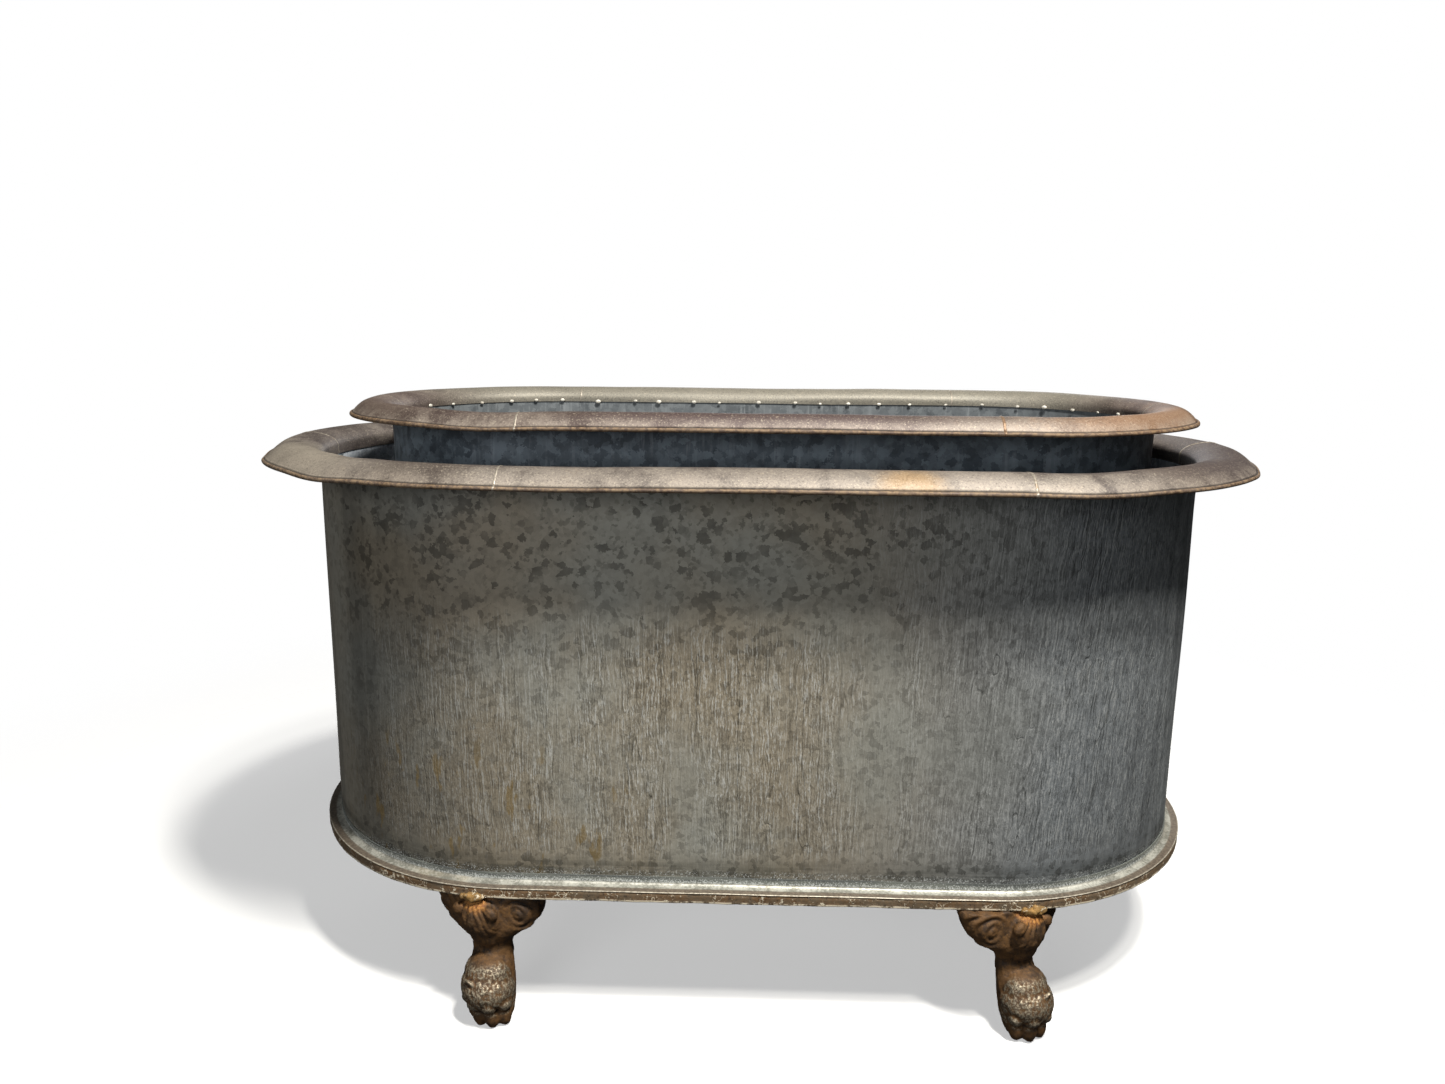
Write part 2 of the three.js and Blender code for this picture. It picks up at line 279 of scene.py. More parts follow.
class Finish:
    """One material, built up from patterns in the object's own coordinates."""

    def __init__(self, name):
        self.material = bpy.data.materials.new(name)
        self.material.use_nodes = True
        self.tree = self.material.node_tree
        self.tree.nodes.clear()
        place = self.node("ShaderNodeTexCoord").outputs["Object"]
        self.place = Value(self, place)
        axes = self.node("ShaderNodeSeparateXYZ", inputs={0: self.place})
        self.x, self.y, self.z = (Value(self, axes.outputs[i]) for i in range(3))

    def node(self, kind, settings=None, inputs=None):
        node = self.tree.nodes.new(kind)
        for key, value in (settings or {}).items():
            setattr(node, key, value)
        for key, value in (inputs or {}).items():
            if isinstance(value, Value):
                self.tree.links.new(value.socket, node.inputs[key])
            else:
                node.inputs[key].default_value = value
        return node

    def value(self, kind, settings=None, inputs=None, output=0):
        return Value(self, self.node(kind, settings, inputs).outputs[output])

    def maths(self, operation, *terms, clamp=False):
        settings = {"operation": operation, "use_clamp": clamp}
        return self.value("ShaderNodeMath", settings, dict(enumerate(terms)))

    def stretched(self, stretch, place=None):
        settings = {"operation": "MULTIPLY"}
        return self.value("ShaderNodeVectorMath", settings, {0: place or self.place, 1: stretch})

    def noise(self, scale, detail=3.0, roughness=0.5, stretch=None, shift=None, place=None):
        place = place or self.place
        if shift:
            place = self.value("ShaderNodeVectorMath", {"operation": "ADD"}, {0: place, 1: shift})
        if stretch:
            place = self.stretched(stretch, place)
        inputs = {"Vector": place, "Scale": scale, "Detail": detail, "Roughness": roughness}
        return self.value("ShaderNodeTexNoise", None, inputs)

    def rise(self, value, low, high):
        """0 below low, 1 above high, eased between. With low above high it falls."""
        inputs = {0: value, 1: low, 2: high}
        return self.value("ShaderNodeMapRange", {"interpolation_type": "SMOOTHSTEP"}, inputs)

    def mix(self, factor, first, second, blend="MIX"):
        """From the first colour to the second. Each is a socket or a six-figure colour."""
        first, second = (srgb(c) if isinstance(c, str) else c for c in (first, second))
        settings = {"data_type": "RGBA", "blend_type": blend}
        return self.value("ShaderNodeMix", settings, {0: factor, 6: first, 7: second}, output=2)

    def darken(self, factor, colour, by):
        return self.mix(factor, colour, by, "MULTIPLY")

    def shades(self, pattern, low, high, first, second):
        """One colour where a pattern is low, the other where it is high."""
        return self.mix(self.rise(pattern, low, high), first, second)

    def bent(self, scale, amount, place):
        """A place that wanders by a small noise, so that what is drawn on it comes out wavy."""
        inputs = {"Vector": self.place, "Scale": scale}
        wander = self.value("ShaderNodeTexNoise", None, inputs, output=1)
        settings = {"operation": "MULTIPLY_ADD"}
        return self.value("ShaderNodeVectorMath", settings, {0: wander, 1: amount, 2: place})

    def flakes(self, scale, wobble=0.004, seed=0.0):
        """A random number for each crystal of zinc, with ragged angular edges."""
        bend = self.bent(scale * 3.5, (wobble,) * 3, self.place)
        bend = self.value("ShaderNodeVectorMath", {"operation": "ADD"}, {0: bend, 1: (seed,) * 3})
        colour = self.value(
            "ShaderNodeTexVoronoi", None, {"Vector": bend, "Scale": scale}, output="Color"
        )
        return self.value("ShaderNodeSeparateColor", None, {0: colour})

    def spot(self, centre, radius):
        """1 at a point, easing to 0 at a distance."""
        inputs = {0: self.place, 1: centre}
        gap = self.value("ShaderNodeVectorMath", {"operation": "DISTANCE"}, inputs, output="Value")
        return self.rise(gap, radius, 0.0)

    def attribute(self, name):
        return self.value("ShaderNodeAttribute", {"attribute_name": name}, output="Fac")

    def bump(self, height, distance, strength=1.0):
        inputs = {"Height": height, "Distance": distance, "Strength": strength}
        return self.value("ShaderNodeBump", None, inputs)

    def surface(self, colour, roughness, metallic=0.0, bump=None, **uniform):
        inputs = {"Base Color": colour, "Roughness": roughness, "Metallic": metallic}
        if bump:
            inputs["Normal"] = bump
        inputs.update({key.replace("_", " "): value for key, value in uniform.items()})
        shader = self.value("ShaderNodeBsdfPrincipled", None, inputs)
        self.node("ShaderNodeOutputMaterial", inputs={0: shader})
        return self.material


# %% [markdown]
# ## Weathered zinc sheet
# Hot-dip galvanising leaves angular crystals, called spangle, each a slightly different grey.
# Years of rain leave fine vertical ripples down the lower part of the wall, with a few
# yellow-brown runs. The spangle is a Voronoi pattern, one grey to a cell. The ripples are
# noise that is squeezed sideways and stretched upwards. Besides their bumps, their crests are
# painted pale and the dips between them dark. This painted highlight and painted shade is kept
# low down and on the right, where the lamps reach. The ends are painted darker, as painted shade.


# %% Zinc wall finish
def zinc_wall(name, trough, light, dark, warm, cool):
    f = Finish(name)
    rise_z = trough.crest - trough.wall_foot
    height = (f.z - trough.wall_foot) * (1 / rise_z)
    cloud = f.noise(5.0, 3, 0.55)
    patch = f.noise(17.0, 4, 0.6, shift=(3, 1, 7))
    smudge = f.noise(52.0, 4, 0.65, shift=(1, 4, 2))
    grey = f.shades(cloud, 0.35, 0.65, light, warm)
    right = f.rise(f.x + cloud * 0.4, 0.25, 0.62)
    grey = f.mix(right, grey, cool)
    # spangle: most crystals near the mean grey, a few clearly darker
    big = f.flakes(125.0, 0.005)
    tiny = f.flakes(250.0, 0.0028, seed=4.0)
    upper = f.rise(height + (cloud - 0.5) * 0.5, 0.45, 0.85) * 0.6 + 0.4
    upper = upper * (1 - right * 0.7)
    foot_zone = f.rise(height + (patch - 0.5) * 0.05, 0.13, 0.07)
    upper = f.maths("MAXIMUM", upper, foot_zone * 0.8)
    few = f.rise(big * (0.6 + patch * 0.8), 0.72, 0.92) * upper
    specks = f.rise(tiny * (0.6 + patch * 0.8), 0.8, 0.98) * upper
    spot = f.maths("MAXIMUM", few * (0.3 + smudge * 0.9), specks * 0.55)
    grey = f.darken(spot * 0.75, grey, f.mix(tiny, dark, "7b776c"))
    shade = big * 0.4 + tiny * 0.3 + smudge * 0.5
    grey = f.darken(f.rise(shade, 0.3, 0.9) * 0.3, grey, "7e7c76")
    # ripples where rain has run down, in bands, with a few thin dark wavy lines; the crests are
    # painted pale and the dips dark, as painted highlight and painted shade below the rim's shadow
    lean = f.rise(f.x, 0.05, 0.5) * 0.13
    leaning = f.value("ShaderNodeCombineXYZ", None, {0: f.x - f.z * lean, 1: f.y, 2: f.z})
    bent = f.bent(26.0, (0.008, 0.008, 0.0), leaning)
    ripple = f.noise(640.0, 3, 0.66, stretch=(1, 1, 0.036), place=bent)
    grain = f.noise(700.0, 2, 0.65, stretch=(1, 1, 0.3))
    band = f.noise(34.0, 3, 0.6, stretch=(1, 1, 0.03), place=bent, shift=(1, 2, 3))
    course = f.noise(70.0, 1, 0.5, stretch=(1, 1, 0.045), place=bent, shift=(7, 2, 3))
    line = f.rise(f.maths("ABSOLUTE", course - 0.5), 0.011, 0.002)
    lower = f.rise(height + (patch - 0.5) * 0.2, 0.7, 0.56)
    # where the ripples are strong: this sets both their bumps and their painted highlight and
    # shade
    ripples_and_painted_light = lower * (f.rise(cloud * 0.5 + band * 0.5, 0.4, 0.56) * 0.75 + 0.25)
    ripples_and_painted_light = f.maths("MAXIMUM", ripples_and_painted_light, right * 1.15) * (1 - foot_zone * 0.8)
    crest = ripple * 0.68 + grain * 0.32
    ripples_and_painted_light = ripples_and_painted_light * (f.rise(f.x, -0.6, -0.1) * 0.5 + 0.5)
    # painted highlight on the ripple crests, then painted shade in the dips
    grey = f.mix(f.rise(crest, 0.5, 0.62) * ripples_and_painted_light * 0.5, grey, "d6d8d4")
    grey = f.darken(f.rise(crest, 0.49, 0.38) * ripples_and_painted_light * 0.5, grey, "6e6e68")
    grey = f.darken(line * ripples_and_painted_light * f.rise(cloud, 0.4, 0.5) * 0.4, grey, "5a5a54")
    # painted shade: the ends are darker than the middle, in bands on the left and evenly on the
    # right, easing off at the far right edge, which is left brighter as a painted reflection
    painted_right_end_shade = f.rise(f.x, 0.02, 0.4) * (0.85 - f.rise(f.x, 0.44, 0.52) * 0.5)
    painted_end_shade = f.maths("MAXIMUM", f.rise(f.x, -0.14, -0.4) * 0.7, painted_right_end_shade)
    grey = f.darken(painted_end_shade * 0.8, grey, "a9aaac")
    # the far left edge is painted paler, a painted reflection
    grey = f.mix(f.rise(f.x, -0.44, -0.53) * 0.45, grey, "a39c8c")
    # more bands of painted shade towards both ends
    sides = f.rise(f.maths("ABSOLUTE", f.x), 0.34, 0.5)
    grey = f.darken(f.rise(band, 0.56, 0.4) * sides * 0.4, grey, "6a6e72")
    # yellow-brown runs low on the left
    runs = f.noise(62.0, 3, 0.6, stretch=(1, 1, 0.32), shift=(9, 2, 4))
    low_left = f.rise(f.x, -0.08, -0.18) * f.rise(f.x, -0.52, -0.42) * f.rise(height, 0.42, 0.25)
    grey = f.mix(f.rise(runs, 0.6, 0.66) * low_left * 0.6, grey, "7a6433")
    # a dark tide mark with level lines just above the moulding, and a pale sparkle at its foot
    levels = f.noise(190.0, 3, 0.6, stretch=(0.05, 0.05, 1))
    tide = f.rise(height, 0.1, 0.045) * (f.rise(levels, 0.35, 0.6) * 0.45 + 0.4)
    grey = f.darken(tide * 0.8, grey, "5f6664")
    sparkle = f.noise(620.0, 3, 0.75, shift=(2, 2, 2))
    fringe = f.rise(height + (patch - 0.5) * 0.02, 0.058, 0.042) * f.rise(sparkle, 0.54, 0.64)
    grey = f.mix(fringe * 0.5, grey, "e3e8e6")
    rough = 0.46 + patch * 0.1 + big * 0.08
    height_map = ripple * (ripples_and_painted_light * 0.6 + 0.12) + grain * (ripples_and_painted_light * 0.5 + 0.12) + big * 0.1
    height_map = height_map - line * ripples_and_painted_light * 0.35
    return f.surface(grey, rough, metallic=0.2, bump=f.bump(height_map, 0.0011, 0.9))


def dark_zinc(name, light, dark, streak):
    """Zinc that faces other zinc: blue-grey and dull, with a soft mottle.
    The large trough's lining is painted paler, as painted light, and the small
    trough's outside darker, as painted shade.
    """
    f = Finish(name)
    cloud = f.noise(7.0, 3, 0.6)
    mottle = f.noise(38.0, 4, 0.65, shift=(2, 2, 6))
    big = f.flakes(95.0, 0.007)
    plates = f.flakes(110.0, 0.008, seed=2.0)
    shade = plates * 0.3 + mottle * 0.35 + cloud * 0.35
    blue = f.shades(shade, 0.3, 0.7, dark, light)
    blue = f.darken(f.rise(big, 0.6, 0.95) * 0.35, blue, "6a7078")
    washed = f.noise(210.0, 3, 0.6, stretch=(1, 1, 0.05))
    lift = f.rise(washed, 0.5, 0.68) * f.rise(mottle, 0.42, 0.6)
    blue = f.mix(lift * 0.5, blue, streak)
    rough = 0.5 + cloud * 0.15
    height_map = washed * 0.5 + big * 0.3 + f.noise(400.0, 2, 0.6) * 0.3
    return f.surface(blue, rough, metallic=0.25, bump=f.bump(height_map, 0.0006, 0.6))


large_wall_zinc = zinc_wall("large_wall_zinc", large, "96958b", "535552", "978d7a", "989d9f")
# the large trough's inside: zinc painted pale, as painted light on a lining that lies in shade
large_lining_lit_zinc = dark_zinc("large_lining_lit_zinc", "d9dfe4", "a5adb6", "f0f3f4")
# the small trough's outside: blue-grey zinc, painted darker as painted shade between the troughs
small_wall_shaded_zinc = dark_zinc("small_wall_shaded_zinc", "66727b", "39434c", "7a828a")
small_lining_zinc = dark_zinc("small_lining_zinc", "74797b", "5c6164", "979b9c")
floor_zinc = dark_zinc("floor_zinc", "767c80", "565c60", "8f9496")
strip_zinc = dark_zinc("strip_zinc", "7f868a", "666c70", "9ba0a2")

# %% [markdown]
# ## The walls
# Each trough has two bent sheets that meet at the middle of the ends. The skin has plenty of
# rows and columns, so that a slow warp of a millimetre or two shows in the reflections. The
# warp fades out where the rim and the moulding hold the sheet.

# %% Build the walls
SHEET = 1.4 * MM
WALL_ROWS = 26


def wall_section(trough):
    step = (trough.wall_top - trough.wall_foot) / WALL_ROWS
    return [(0.0, trough.wall_foot + i * step) for i in range(WALL_ROWS + 1)]


def held_edges(trough):
    def hold(co):
        low = smooth_rise(co.z, trough.wall_foot, trough.wall_foot + 60 * MM)
        return low * smooth_rise(co.z, trough.wall_top, trough.wall_top - 50 * MM)

    return hold


for trough, finish, lining in (
    (large, large_wall_zinc, large_lining_lit_zinc),
    (small, small_wall_shaded_zinc, small_lining_zinc),
):
    for side in ("front", "back"):
        bm = sweep(wall_section(trough), trough, *half_way_round(trough, side, 28, 30))
        warp(bm, 2.2 * MM, 0.23, held_edges(trough), seed=trough.radius)
        face_away(bm, axis_of(trough))
        node = f"{trough.name}_wall_{side}"
        name = f"{trough.name}_sheet_{side}"
        make_piece(name, bm, trough.body, finish, [node], SHEET, lining)
print("walls made")

# %% [markdown]
# ## Brown, stained rim sheet
# The rims are the most handled and most rained-on metal here. They have gone bronze-brown,
# with pale bare patches on the crest, a fine pale speckle, rust along the rolled lip and a few
# large stains. On top of that the lower slope is painted paler, a painted highlight, and so is
# the back of the small rim. The attribute `across` runs from 0 inside the trough to 1 at the
# lip, so wear and the painted highlight can follow the section.


# %% Rim finish
def rim_metal(name, deep, mid, pale, stains, pale_amount, back_highlight=0.0, rust_amount=0.6):
    f = Finish(name)
    across = f.attribute("across")
    cloud = f.noise(6.5, 4, 0.6)
    patch = f.noise(24.0, 4, 0.65, shift=(2, 5, 1))
    fleck = f.noise(210.0, 3, 0.7)
    grain = f.noise(700.0, 2, 0.6)
    brown = f.shades(patch * 0.6 + cloud * 0.4, 0.36, 0.62, deep, mid)
    crest = f.rise(across, 0.3, 0.45) * f.rise(across, 0.86, 0.62)
    bare = f.rise(patch * 0.5 + cloud * 0.5 + crest * 0.1, 0.47, 0.66)
    brown = f.mix(bare * pale_amount, brown, pale)
    for centre, radius, colour, strength in stains:
        edge = f.spot(centre, radius) + (patch - 0.5) * 0.9 + (fleck - 0.5) * 0.5
        brown = f.mix(f.rise(edge, 0.05, 0.85) * strength, brown, colour)
    # the back of the rim is painted paler, a painted highlight (used on the small trough)
    brown = f.mix(f.rise(f.y, 0.04, 0.2) * back_highlight, brown, "7f7c70")
    # the lower slope is painted paler in patches, a painted highlight where the lamps catch it
    slope_highlight = f.rise(across, 0.5, 0.66)
    brown = f.mix(slope_highlight * f.rise(patch, 0.35, 0.6) * 0.4, brown, "9c9184")
    spark = f.noise(480.0, 3, 0.75)
    brown = f.mix(f.rise(spark, 0.55, 0.68) * 0.42, brown, "b3a995")
    brown = f.mix(f.rise(fleck, 0.6, 0.72) * 0.3, brown, "a69c8a")
    brown = f.darken(f.rise(spark, 0.46, 0.34) * 0.5, brown, "5a4f45")
    # the rolled bead is rustier, and a dark crease divides it from the slope
    bead = f.rise(across, 0.68, 0.71)
    brown = f.mix(bead * 0.75, brown, f.shades(fleck, 0.4, 0.6, "4a3728", "7b6448"))
    crease = f.rise(across, 0.645, 0.66) * f.rise(across, 0.71, 0.69)
    brown = f.darken(crease * 0.75, brown, "3a2d22")
    rust = bead * f.rise(patch * 0.7 + fleck * 0.4, 0.4, 0.62) * rust_amount
    rough = 0.47 + patch * 0.16 + rust * 0.25 + fleck * 0.06
    height_map = spark * 0.6 + grain * 0.3 + patch * 0.15 + fleck * 0.15 + rust * 0.2
    metal = 0.3 - rust * 0.2
    return f.surface(brown, rough, metal, bump=f.bump(height_map, 0.0006, 0.6))


LARGE_STAINS = [  # where, how wide, the colour and how strong
    ((0.155, -0.33, 0.62), 0.058, "96733c", 0.5),
    ((0.22, -0.30, 0.63), 0.07, "80776f", 0.3),
    ((0.45, -0.22, 0.63), 0.15, "463b35", 0.8),
    ((0.56, -0.14, 0.63), 0.28, "3f3635", 0.9),
    ((-0.52, -0.2, 0.63), 0.20, "8d8577", 0.6),
    ((-0.34, -0.31, 0.63), 0.10, "50473f", 0.6),
]
SMALL_STAINS = [
    ((0.02, -0.24, 0.68), 0.34, "453735", 0.95),
    ((0.43, -0.15, 0.68), 0.25, "7c6049", 0.9),
    ((-0.44, -0.14, 0.68), 0.16, "4f4038", 0.7),
]
large_rim_metal = rim_metal("large_rim_metal", "48403c", "655d58", "8a8276", LARGE_STAINS, 0.45)
small_rim_metal = rim_metal(
    "small_rim_metal", "463a35", "655853", "857d70", SMALL_STAINS, 0.45, back_highlight=0.8
)

# %% [markdown]
# ## The rims
# A rim is one folded strip: a leg inside the wall, a rounded crest, a long slope and a thin
# rolled bead at the lip. It comes in six lengths a trough, joined by solder. The section is
# drawn point by point along arcs, then swept. Hand-bent strip is never true, so the points
# are warped, and a few dents are pushed in.

# %% Rim section and dents
BEAD = 2.3 * MM
RIM_SHEET = 1.1 * MM
LEG_OUT = -2.7 * MM
CREST_SHARE = {"outer": 34 / 66, "inner": 25 / 50}  # how far out on the rim the crest is
DROP = {"outer": 21 * MM, "inner": 19 * MM}  # from the crest down to the lip


def rim_section(trough):
    reach, crest = trough.rim_reach, trough.crest
    crest_out = reach * CREST_SHARE[trough.name]
    shoulder = trough.wall_top + 0.5 * MM
    points = [(LEG_OUT, trough.leg_foot), (LEG_OUT, (trough.leg_foot + shoulder) / 2)]
    for i in range(11):  # the arch, from the inner leg up to the crest
        a = math.pi - i * math.pi / 20
        across = crest_out + (crest_out - LEG_OUT) * math.cos(a)
        points.append((across, shoulder + (crest - shoulder) * math.sin(a)))
    bead_at = (reach - BEAD, crest - DROP[trough.name] + BEAD)
    lip_at = (bead_at[0] - 0.3 * BEAD, bead_at[1] + 0.85 * BEAD)
    bulge = (crest_out + 0.45 * (reach - crest_out), crest - 0.8 * MM)
    for i in range(1, 11):  # the slope, a single curve from crest to lip
        t = i / 10
        points.append(tuple(
            (1 - t) ** 2 * c + 2 * t * (1 - t) * b + t * t * p
            for c, b, p in zip((crest_out, crest), bulge, lip_at)
        ))
    for i in range(11):  # the bead, rolled under and back
        a = math.radians(95 - i * 26)
        points.append((bead_at[0] + BEAD * math.cos(a), bead_at[1] + BEAD * math.sin(a)))
    return points


CORNERS = {  # which end of the trough, and the angle its sweep starts from
    "front_right": (1, 0),
    "front_left": (-1, -90),
    "back_left": (-1, -180),
    "back_right": (1, -270),
}
DENTS = [  # where, how wide, and which way the metal went
    (Vector((-0.46, -0.27, 0.63)), 0.07, Vector((0, 0, -3.0 * MM))),
    (Vector((-0.57, -0.10, 0.625)), 0.06, Vector((2.0 * MM, 0, -2.0 * MM))),
    (Vector((0.34, -0.31, 0.63)), 0.09, Vector((0, 0, -2.2 * MM))),
    (Vector((0.56, -0.13, 0.63)), 0.08, Vector((0, 0, -3.0 * MM))),
    (Vector((-0.20, -0.33, 0.62)), 0.10, Vector((0, 2.0 * MM, -1.2 * MM))),
    (Vector((-0.30, -0.24, 0.68)), 0.08, Vector((0, 1.5 * MM, -2.0 * MM))),
    (Vector((0.34, -0.22, 0.68)), 0.07, Vector((0, 0, -0.8 * MM))),
    (Vector((0.10, 0.23, 0.68)), 0.12, Vector((0, 0, -0.7 * MM))),
]


def bend_rim(bm, trough):
    def hold(co):
        return smooth_rise(co.z, trough.leg_foot, trough.wall_top + 6 * MM)

    warp(bm, 1.8 * MM, 0.17, hold, seed=1.0)
    warp(bm, 0.35 * MM, 0.05, hold, seed=4.0)
    for centre, width, push in DENTS:
        for vert in bm.verts:
            near = 1 - smooth_rise((vert.co - centre).length, 0, width)
            vert.co += push * near


# %% Build the rims
def crest_line(trough):
    """Faces of a rim look away from a line under the middle of its arch."""
    nearest = axis_of(trough)
    under = trough.rim_reach * CREST_SHARE[trough.name]

    def inside(point):
        flat = Vector((point.x, point.y, 0)) - nearest(Vector((point.x, point.y, 0)))
        middle = nearest(point) + flat.normalized() * (trough.radius + under)
        middle.z = trough.wall_top - 4 * MM
        return middle

    return inside


def add_rim(name, trough, finish, end, start, legs):
    bm = sweep(rim_section(trough), trough, end, start, legs)
    bend_rim(bm, trough)
    face_away(bm, crest_line(trough))
    node = f"{trough.name}_rim_{name}"
    return make_piece(f"{trough.name}_edge_{name}", bm, trough.body, finish, [node], RIM_SHEET)


for trough, finish in ((large, large_rim_metal), (small, small_rim_metal)):
    for side, end, start in (("front", 1, -90), ("back", -1, 90)):
        run = [("straight", -end * 2 * trough.half_straight, 60)]
        add_rim(side, trough, finish, end, start, run)
    for place, (end, start) in CORNERS.items():
        add_rim(place, trough, finish, end, start, [("round", -QUARTER, 48)])
print("rims made")

# %% [markdown]
# ## The base moulding
# Below the wall a bright cove runs round the base; the pale of its hollow is partly a painted
# highlight. Under it is the edge of the steel ring, gone brown, with flakes of white zinc salts.
# The two are separate strips with separate finishes, because the cove is zinc and the ring bare
# steel.


# %% Base finishes
def bright_zinc(name):
    f = Finish(name)
    across = f.attribute("across")
    cloud = f.noise(9.0, 4, 0.6)
    patch = f.noise(45.0, 4, 0.65)
    fine = f.noise(330.0, 3, 0.75)
    # the hollow's pale grey is partly the zinc's own colour and partly a painted highlight, where
    # the lamps reflect in its curve
    white = f.shades(patch * 0.5 + fine * 0.5, 0.4, 0.6, "77766d", "adaca2")
    white = f.mix(f.rise(cloud, 0.58, 0.7) * 0.3, white, "a8946f")
    # the flat ledge is taupe, its edge a paler line, and the lip below as brown as the hoop
    ledge = f.rise(across, 0.37, 0.3)
    white = f.mix(ledge, white, f.shades(fine, 0.4, 0.6, "5c5349", "776c5e"))
    edge = f.rise(across, 0.225, 0.2)
    white = f.mix(edge, white, f.shades(fine, 0.4, 0.6, "8a8274", "b5ae9f"))
    lip = f.rise(across, 0.12, 0.09)
    white = f.mix(lip, white, f.shades(fine, 0.4, 0.6, "5b4c3a", "7c6c55"))
    # near the wall it is as dark as the foot of the wall, with level scratches
    lines = f.noise(330.0, 2, 0.6, stretch=(0.03, 0.03, 1))
    high = f.rise(across + (patch - 0.5) * 0.06, 0.81, 0.87)
    dark = f.shades(lines, 0.4, 0.6, "626664", "7d817b")
    sparkle = f.rise(f.noise(620.0, 3, 0.75) + (1 - across) * 1.1, 0.6, 0.7)
    white = f.mix(high, white, f.mix(sparkle * 0.8, dark, "dfe4e2"))
    height_map = fine * 0.5 + patch * 0.3
    return f.surface(white, 0.38 + patch * 0.15, 0.4, bump=f.bump(height_map, 0.0005, 0.5))


def rusty_steel(name, rust, iron, white_amount=0.5, edges=False):
    f = Finish(name)
    cloud = f.noise(10.0, 4, 0.6)
    patch = f.noise(60.0, 4, 0.7)
    fine = f.noise(300.0, 3, 0.7)
    brown = f.shades(patch * 0.6 + cloud * 0.4, 0.38, 0.62, iron, rust)
    brown = f.mix(f.rise(fine, 0.55, 0.7) * 0.4, brown, "8a6a44")
    brown = f.darken(f.rise(fine, 0.45, 0.33) * 0.6, brown, "4a3a2c")
    salts = f.rise(f.noise(150.0, 4, 0.75, shift=(4, 4, 0)) + (cloud - 0.5) * 0.3, 0.6, 0.66)
    if edges:  # pale salts curl over the face, and zinc flakes along the lower edge
        across = f.attribute("across")
        low = f.rise(across, 0.2, 0.26) * f.rise(across, 0.44, 0.37)
        salts = f.maths("MAXIMUM", salts, low * f.rise(patch + (fine - 0.5) * 0.4, 0.4, 0.54))
        curl = f.rise(f.maths("ABSOLUTE", f.noise(120.0, 2, 0.5) - 0.5), 0.022, 0.008)
        salts = f.maths("MAXIMUM", salts, curl * f.rise(patch, 0.5, 0.58))
    brown = f.mix(salts * white_amount, brown, "dfd5bd")
    height_map = fine * 0.5 + patch * 0.6 + salts * 0.4
    return f.surface(brown, 0.72 + fine * 0.15, 0.15, bump=f.bump(height_map, 0.0012, 0.8))


cove_zinc = bright_zinc("cove_zinc")
ring_rust = rusty_steel("ring_rust", "664c30", "625543", 0.85, edges=True)
hidden_rust = rusty_steel("hidden_rust", "6b4527", "4f4538", 0.2)

# %% Build the base moulding
def cove_section(trough):
    foot, top = trough.cove_foot, trough.cove_top
    lip = trough.ring_reach + 0.3 * MM
    ledge = foot + 1.4 * MM
    hollow_out, hollow_up = 7.8 * MM, 3.4 * MM
    points = [(lip - 1.2 * MM, foot), (lip, foot + 0.1 * MM), (lip, foot + 0.8 * MM)]
    points += [(lip - 0.4 * MM, ledge - 0.1 * MM), (lip - 0.9 * MM, ledge)]
    points += [(lip - 4.0 * MM, ledge)]
    for i in range(11):  # a shallow hollow, from the ledge up to the wall
        a = math.radians(90 * i / 10)
        out = 1.2 * MM + hollow_out * (1 - math.sin(a))
        points.append((out, ledge + hollow_up * (1 - math.cos(a))))
    fin_foot = ledge + hollow_up
    for i in range(1, 4):  # a thin fin that lies against the wall
        points.append((1.2 * MM - 0.05 * MM * i, fin_foot + (top - fin_foot) * i / 3))
    return points


def ring_section(trough):
    out, foot, top = trough.ring_reach, trough.ring_foot, trough.ring_top
    bar = 3 * MM
    return [
        (-20 * MM, foot + bar), (-20 * MM, foot), (-5 * MM, foot), (out - 0.9 * MM, foot),
        (out - 0.2 * MM, foot + 0.3 * MM), (out, foot + 1.0 * MM), (out, foot + 3 * MM),
        (out, foot + 5 * MM), (out, foot + 7 * MM), (out, top - 0.7 * MM),
        (out - 0.5 * MM, top), (out - bar, top), (out - bar, foot + bar),
        (out - 10 * MM, foot + bar), (-19.6 * MM, foot + bar),
    ]


for trough in (large, small):
    for side in ("front", "back"):
        run = half_way_round(trough, side, 40, 46)
        bm = sweep(cove_section(trough), trough, *run)
        warp(bm, 0.4 * MM, 0.08)
        face_away(bm, axis_of(trough))
        name = f"{trough.name}_moulding_{side}"
        make_piece(name, bm, trough.body, cove_zinc, [f"{trough.name}_cove_{side}"], 0.8 * MM)
        bm = sweep(ring_section(trough), trough, *run)
        warp(bm, 0.7 * MM, 0.018)
        caps = [e for e in bm.edges if e.is_boundary]
        bmesh.ops.holes_fill(bm, edges=caps, sides=0)
        bmesh.ops.recalc_face_normals(bm, faces=bm.faces[:])
        name = f"{trough.name}_hoop_{side}"
        make_piece(name, bm, trough.body, ring_rust, [f"{trough.name}_ring_{side}"])
print("base made")

# %% [markdown]
# ## Solder
# Each joint in a rim is closed with a wiped seam of solder, a pale ridge a few millimetres
# wide. The section is swept over that short width and puffed up in the middle. Under the
# small rim a row of tacks holds the leg to the wall: flat drops of solder, unevenly spaced.


# %% Solder finish
def solder_metal(name, bright, dull, rust, metallic=0.6):
    f = Finish(name)
    patch = f.noise(60.0, 4, 0.7)
    fine = f.noise(400.0, 3, 0.7)
    grey = f.shades(fine, 0.35, 0.62, dull, bright)
    grey = f.mix(f.rise(patch, 0.52, 0.68) * 0.6, grey, rust)
    height_map = fine * 0.6 + patch * 0.6
    return f.surface(grey, 0.42 + patch * 0.2, metallic, bump=f.bump(height_map, 0.0008, 0.7))


